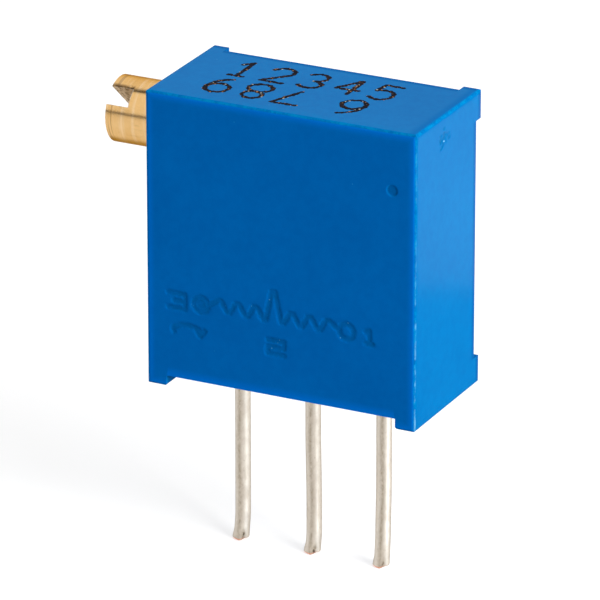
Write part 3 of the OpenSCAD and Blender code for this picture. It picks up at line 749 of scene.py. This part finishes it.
def blue_plastic(name, marked=False):
    """The body's blue, with painted light: its right end and top are painted a little greener than the
    rest.
    """
    m = Mat(name, Specular_IOR_Level=0.003)
    cloud = m.span(m.noise(0.35, 3, 0.5, seed=1.0), 0.3, 0.7)
    grain = m.noise(22, 4, 0.6, seed=2.0)
    dust = m.span(m.cells(2.2, seed=3.0), 0.035, 0.06, 1.0, 0.0)
    flat = m.blend(cloud, (0.0, 0.139, 0.505), (0.0, 0.150, 0.535))
    # painted light: a greener copy of the blue for the right end and the top
    turned = m.blend(cloud, (0.0, 0.174, 0.480), (0.0, 0.190, 0.510))
    painted_light_faces = m.span(m.calc("MAXIMUM", m.facing("X"), m.facing("Z")), 0.1, 0.6)
    colour = m.blend(m.least(painted_light_faces, m.minus(1.0, m.front_or_back())), flat, turned)
    mottle = m.span(m.noise(3.2, 6, 0.7, seed=28.0), 0.36, 0.64, 0.0, 0.14)
    colour = m.blend(mottle, colour, (0.0, 0.07, 0.33))
    colour = m.blend(m.times(dust, 0.4), colour, (0.08, 0.36, 0.68))
    colour = sunk_marks_with_shade(m, colour) if marked else edges_with_wear_and_painted_light(m, colour)
    rough = m.span(m.noise(6, 5, 0.6, seed=4.0), 0.3, 0.7, 0.13, 0.21)
    height = m.calc("ADD", grain, m.times(dust, 1.5))
    return m.finish(colour, rough, height, 0.002, 0.35)


def marking_ink():
    """Black ink, burnt brown in places, with bright orange flecks, and pale grey flecks painted in as
    highlights.
    """
    m = Mat("marking_ink", Roughness=0.75, Specular_IOR_Level=0.03)
    burn = m.noise(11, 3, 0.6, seed=21.0)
    fleck = m.span(m.cells(9, seed=22.0), 0.26, 0.34, 0.9, 0.0)
    pale_fleck_highlight = m.span(m.cells(6, seed=23.0), 0.20, 0.27, 0.9, 0.0)
    colour = m.blend(m.span(burn, 0.50, 0.68), (0.006, 0.007, 0.013), (0.05, 0.026, 0.018))
    colour = m.blend(fleck, colour, (0.42, 0.20, 0.08))
    # painted highlights: pale grey flecks on the dots
    colour = m.blend(pale_fleck_highlight, colour, (0.46, 0.50, 0.50))
    return m.finish(colour, None, burn, 0.008, 0.7)


def potting_epoxy():
    """Dark blue resin, cloudy and faintly uneven, with a few small bubbles at its surface."""
    m = Mat("potting_epoxy", Specular_IOR_Level=0.15)
    cloud = m.noise(0.6, 4, 0.55, seed=5.0)
    bubble = m.span(m.cells(1.6, seed=6.0), 0.05, 0.12, 1.0, 0.0)
    colour = m.blend(m.span(cloud, 0.35, 0.65), (0.008, 0.080, 0.265), (0.011, 0.100, 0.32))
    colour = m.blend(m.times(bubble, 0.5), colour, (0.03, 0.17, 0.44))
    rough = m.span(m.noise(2.5, 4, 0.5, seed=7.0), 0.3, 0.7, 0.22, 0.40)
    height = m.minus(m.noise(0.9, 3, 0.5, seed=8.0), m.times(bubble, 0.4))
    return m.finish(colour, rough, height, 0.03, 0.6)


def brass():
    """Turned brass: rings from the tool, painted paler in places as highlights, a few scratches,
    painted shade on the underside, and dull walls in the driver slot.
    """
    # direction of the slot, from the back towards the top, and its depth and half width in mm
    slot_turn, slot_depth, slot_half = 139, 0.765, 0.312
    m = Mat("screw_brass", Metallic=1.0, Specular_Tint=(0.74, 0.50, 0.27, 1))
    scratch = m.noise(7, 5, 0.7, stretch=(0.12, 1, 1), seed=9.0)
    turning_and_highlight = m.noise(6, 4, 0.6, stretch=(1, 0.05, 0.05), seed=10.0)
    tint = m.span(m.noise(1.6, 4, 0.6, seed=11.0), 0.3, 0.7)
    colour = m.blend(tint, (0.80, 0.48, 0.18), (0.88, 0.56, 0.24))
    # rings from the turning tool, painted paler in places as painted highlights
    colour = m.blend(m.span(turning_and_highlight, 0.48, 0.66, 0.0, 0.4), colour, (0.98, 0.76, 0.50))
    colour = m.blend(m.span(scratch, 0.58, 0.72, 0.0, 0.55), colour, (0.42, 0.26, 0.10))
    # painted shade: the underside is painted darker
    colour = m.blend(m.span(m.facing("Z"), -0.88, -0.55, 0.8, 0.0), colour, (0.34, 0.17, 0.05))
    # fine dark rings near the slotted end
    low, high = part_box("adjusting_screw")
    rings = m.span(m.noise(9, 3, 0.6, stretch=(1, 0.02, 0.02), seed=26.0), 0.52, 0.60)
    rings = m.times(rings, m.span(m.axis("X"), low.x + 0.35 * MM, low.x + 0.75 * MM, 0.5, 0.0))
    colour = m.blend(rings, colour, (0.33, 0.19, 0.07))
    # the saw has left a ragged dark burr on one side of the slot
    middle = (low + high) / 2
    lean = math.radians(slot_turn)
    across = m.calc("ADD",
                    m.times(m.minus(m.axis("Y"), middle.y), -math.sin(lean)),
                    m.times(m.minus(m.axis("Z"), middle.z), math.cos(lean)))
    above = m.times(across, -1.0)
    slotted = m.span(m.axis("X"), low.x + slot_depth * MM, low.x + 0.80 * MM, 1.0, 0.0)
    burr = m.times(slotted,
                   m.span(above, 0.34 * MM, 0.50 * MM, 0.95, 0.0),
                   m.span(above, 0.30 * MM, 0.32 * MM),
                   m.span(m.noise(6, 5, 0.75, seed=25.0), 0.40, 0.52))
    colour = m.blend(burr, colour, (0.16, 0.09, 0.04))
    inside = m.times(slotted, m.span(m.size_of(across), slot_half * MM, 0.325 * MM, 1.0, 0.0))
    sawn = m.noise(9, 5, 0.7, stretch=(1, 0.5, 0.5), seed=19.0)
    dull = m.blend(m.span(sawn, 0.38, 0.58), (0.32, 0.24, 0.155), (0.80, 0.67, 0.51))
    colour = m.blend(inside, colour, dull)
    rough = m.calc("MAXIMUM", m.span(scratch, 0.3, 0.7, 0.13, 0.22), m.times(inside, 0.5))
    height = m.calc("ADD", m.times(turning_and_highlight, 0.8), scratch)
    return m.finish(colour, rough, height, 0.003, 0.6)


def tinned_wire():
    """Warm tin over copper. Each wire's mesh says where painted shade and a painted highlight lie and
    where copper shows.
    """
    m = Mat("tinned_wire", Metallic=1.0)
    draw = m.noise(16, 4, 0.6, stretch=(1, 1, 0.06), seed=12.0)
    cloud = m.noise(2.2, 5, 0.65, seed=13.0)
    pores = m.noise(13, 4, 0.7, stretch=(1, 1, 0.5), seed=20.0)
    patchy = m.span(m.calc("ADD", cloud, pores), 0.7, 1.15, 0.35, 1.0)
    painted_shade = m.times(m.painted("painted_shade"), patchy)
    copper = m.times(m.painted("copper"), m.span(cloud, 0.25, 0.5, 0.7, 1.0))
    colour = m.blend(m.span(cloud, 0.35, 0.65), (0.73, 0.65, 0.55), (0.83, 0.76, 0.66))
    colour = m.blend(m.span(draw, 0.5, 0.75, 0.0, 0.3), colour, (0.50, 0.42, 0.33))
    colour = m.blend(m.times(m.span(pores, 0.56, 0.68), 0.35), colour, (0.40, 0.33, 0.26))
    # painted highlight: a pale band down each wire
    highlight_paint = m.times(m.painted("shine"), m.span(cloud, 0.3, 0.6, 0.5, 0.95))
    colour = m.blend(highlight_paint, colour, (1.0, 0.96, 0.88))
    # painted shade: brown where the mesh holds painted shade, near black where it holds most
    colour = m.blend(painted_shade, colour, (0.27, 0.20, 0.12))
    colour = m.blend(m.span(painted_shade, 0.56, 0.92), colour, (0.10, 0.08, 0.06))
    colour = m.blend(copper, colour, (0.95, 0.36, 0.20))
    rough = m.span(cloud, 0.3, 0.7, 0.32, 0.44)
    return m.finish(colour, rough, m.calc("ADD", draw, pores), 0.005, 0.5)


def plain_metal(name, dark, light, smoothest, roughest, per_mm=6):
    """A metal that is cloudy between two colours and between two roughnesses."""
    m = Mat(name, Metallic=1.0)
    cloud = m.noise(per_mm, 4, 0.6, seed=14.0)
    colour = m.blend(m.span(cloud, 0.35, 0.65), dark, light)
    return m.finish(colour, m.span(cloud, 0.3, 0.7, smoothest, roughest), cloud, 0.002, 0.4)


def plain_solid(name, dark, light, smoothest, roughest, per_mm=5, bump_mm=0.004):
    """The same for what isn't metal."""
    m = Mat(name)
    cloud = m.noise(per_mm, 5, 0.6, seed=15.0)
    colour = m.blend(m.span(cloud, 0.35, 0.65), dark, light)
    return m.finish(colour, m.span(cloud, 0.3, 0.7, smoothest, roughest), cloud, bump_mm, 0.5)


plastic = blue_plastic("housing_plastic")
dress("housing", plastic)
moulded_housing([plastic, blue_plastic("housing_plastic_marked", marked=True)])
ink_marking(marking_ink())
epoxy = potting_epoxy()
dress("back_potting", epoxy)
cured_potting(epoxy)
dress("adjusting_screw", brass())

rubber = plain_solid("seal_rubber", (0.012, 0.012, 0.013), (0.03, 0.03, 0.032), 0.5, 0.7)
steel = plain_metal("pin_steel", (0.42, 0.43, 0.45), (0.6, 0.6, 0.61), 0.25, 0.4)
nylon = plain_solid("wheel_plastic", (0.74, 0.71, 0.62), (0.82, 0.79, 0.71), 0.4, 0.55)
alloy = plain_metal("spring_alloy", (0.72, 0.55, 0.3), (0.82, 0.67, 0.42), 0.2, 0.35, 12)
ceramic = plain_solid("ceramic", (0.80, 0.78, 0.72), (0.88, 0.86, 0.81), 0.55, 0.75, 18, 0.003)
carbon = plain_solid("resistive_film", (0.02, 0.018, 0.016), (0.05, 0.045, 0.04), 0.4, 0.6, 14)
silver = plain_metal("conductor_film", (0.55, 0.54, 0.5), (0.72, 0.71, 0.67), 0.35, 0.5, 16)
dress("shaft_seal_ring", rubber)
dress("screw_retaining_pin", steel)
dress("worm_wheel", nylon)
dress("wiper_spring", alloy)
dress("ceramic_plate", ceramic)
dress("resistive_track", carbon)
for name in ("collector_track", "end_pad_1", "end_pad_3"):
    dress(name, silver)

wire = tinned_wire()
solder = plain_metal("solder", (0.6, 0.6, 0.58), (0.78, 0.78, 0.76), 0.25, 0.45, 4)
for number in (1, 2, 3):
    dress(f"terminal_pin_{number}", wire)
    cropped_pin(number, wire)
    dress(f"solder_joint_{number}", solder)


# Floor, light and camera ------------------------------------------------------------------------

def paper_floor():
    """A pale sheet of paper under the object. It keeps the shadow, and the rest of it shows white."""
    half, low = 1.5, cad_box[0].z
    # how white the paper glows to the camera, and how much of that glow metal and glass show
    to_camera, to_gloss = 0.64, 0.65
    mesh = bpy.data.meshes.new("floor")
    corners = [(-half, -half, low), (half, -half, low), (half, half, low), (-half, half, low)]
    mesh.from_pydata(corners, [], [(0, 1, 2, 3)])
    floor = add_object("floor", mesh)
    m = Mat("floor_paper", Roughness=0.9, Specular_IOR_Level=0.1, Base_Color=(0.5, 0.5, 0.5, 1))
    rays = m.add("ShaderNodeLightPath")
    bounced = m.calc("MAXIMUM", rays.outputs["Is Glossy Ray"], rays.outputs["Is Transmission Ray"])
    seen = m.calc("MAXIMUM", rays.outputs["Is Camera Ray"], m.times(bounced, to_gloss))
    # far from the object, where the lamps no longer reach, the camera sees the paper plain white
    distance = m.add("ShaderNodeVectorMath", operation="LENGTH")
    m.put(m.place, distance.inputs[0])
    far = m.span(distance.outputs["Value"], 0.05, 0.25, 0.0, 1 - to_camera)
    far = m.times(rays.outputs["Is Camera Ray"], far)
    glow = m.add("ShaderNodeEmission")
    m.put(m.calc("ADD", far, m.times(seen, to_camera)), glow.inputs["Strength"])
    both = m.add("ShaderNodeAddShader")
    m.put(m.shader.outputs[0], both.inputs[0])
    m.put(glow.outputs[0], both.inputs[1])
    m.put(both.outputs[0], m.tree.nodes["Material Output"].inputs["Surface"])
    mesh.materials.append(m.material)


def studio():
    """The room: metal sees its screens, matt surfaces a plain dim room, and the camera a white one."""
    world = bpy.data.worlds.new("studio")
    world.use_nodes = True
    bpy.context.scene.world = world
    tree = world.node_tree
    # grey levels that matt surfaces and the camera see
    dim, white = 0.17, 1

    def link(a, b):
        tree.links.new(a, b)

    def choose(share, a, b):
        """Colour or socket a, and grey level b where share is 1."""
        node = tree.nodes.new("ShaderNodeMix")
        node.data_type = "RGBA"
        link(share, node.inputs[0])
        link(a, node.inputs[6])
        node.inputs[7].default_value = (b, b, b, 1)
        return node.outputs[2]

    # angle from the front horizon over the top to the back horizon, from 0 to 1, and 0 for all below
    around = tree.nodes.new("ShaderNodeTexCoord")
    parts = tree.nodes.new("ShaderNodeSeparateXYZ")
    link(around.outputs["Generated"], parts.inputs[0])
    front = tree.nodes.new("ShaderNodeMath")
    front.operation = "MULTIPLY"
    link(parts.outputs["Y"], front.inputs[0])
    front.inputs[1].default_value = -1
    turn = tree.nodes.new("ShaderNodeMath")
    turn.operation = "ARCTAN2"
    link(parts.outputs["Z"], turn.inputs[0])
    link(front.outputs[0], turn.inputs[1])
    share = tree.nodes.new("ShaderNodeMapRange")
    link(turn.outputs[0], share.inputs["Value"])
    share.inputs["From Max"].default_value = math.pi
    # grey levels: front screen above a dark horizon, dark gap overhead, back screen that dims low down
    levels = [(0.0, 0.10), (0.03, 0.10), (0.05, 0.95), (0.46, 1.0), (0.485, 0.08), (0.54, 0.08),
              (0.57, 0.95), (0.88, 0.95), (1.0, 0.66)]
    ramp = tree.nodes.new("ShaderNodeValToRGB")
    link(share.outputs["Result"], ramp.inputs["Fac"])
    stops = ramp.color_ramp.elements
    while len(stops) < len(levels):
        stops.new(0.5)
    for stop, (place, level) in zip(stops, levels):
        stop.position = place
        stop.color = (level, level, level, 1)
    rays = tree.nodes.new("ShaderNodeLightPath")
    room = choose(rays.outputs["Is Diffuse Ray"], ramp.outputs["Color"], dim)
    seen = choose(rays.outputs["Is Camera Ray"], room, white)
    link(seen, tree.nodes["Background"].inputs["Color"])


def lamp(name, place_mm, aim_mm, size_mm, power, seen_by="all"):
    """A soft oblong lamp that the camera doesn't see, for all surfaces or only for gloss or matt."""
    data = bpy.data.lights.new(name, "AREA")
    data.shape = "RECTANGLE"
    data.size, data.size_y = (s * MM for s in size_mm)
    data.energy = power
    lamp_object = add_object(name, data)
    place, aim = Vector(place_mm) * MM, Vector(aim_mm) * MM
    lamp_object.location = place
    lamp_object.rotation_mode = "QUATERNION"
    lamp_object.rotation_quaternion = (aim - place).to_track_quat("-Z", "Y")
    lamp_object.visible_camera = False
    lamp_object.visible_diffuse = seen_by != "gloss"
    lamp_object.visible_glossy = seen_by != "matt"


def camera():
    """The photograph's viewpoint, fitted to the corners of the body."""
    azimuth, elevation = math.radians(26.32), math.radians(21.71)
    distance_mm = 210.97
    target = Vector((-0.475, 0.005, 2.76)) * MM
    away = Vector((math.sin(azimuth) * math.cos(elevation),
                   -math.cos(azimuth) * math.cos(elevation), math.sin(elevation)))
    data = bpy.data.cameras.new("camera")
    data.sensor_width = 36
    data.lens = 394.7
    data.clip_start, data.clip_end = 0.01, 10
    eye = add_object("camera", data)
    eye.location = target + away * distance_mm * MM
    eye.rotation_mode = "QUATERNION"
    eye.rotation_quaternion = (-away).to_track_quat("-Z", "Y")
    bpy.context.scene.camera = eye


paper_floor()
studio()
lamp("key", (247, -80, 154), (0, 0, 4), (180, 180), 1.22)
lamp("fill", (-170, 160, 170), (0, 0, 2), (200, 200), 0.31, seen_by="matt")
# a low light for the wires' right flanks, and a card whose reflection veils the right end's upper part
lamp("rim", (100, -8, 2), (0, 0, -3), (34, 24), 0.042, seen_by="gloss")
lamp("end_card", (16.1, 15.17, 0.35), (7.86, -1.49, 7.75), (14, 6.7), 0.00142, seen_by="gloss")
camera()
bpy.context.scene.view_settings.view_transform = "Standard"
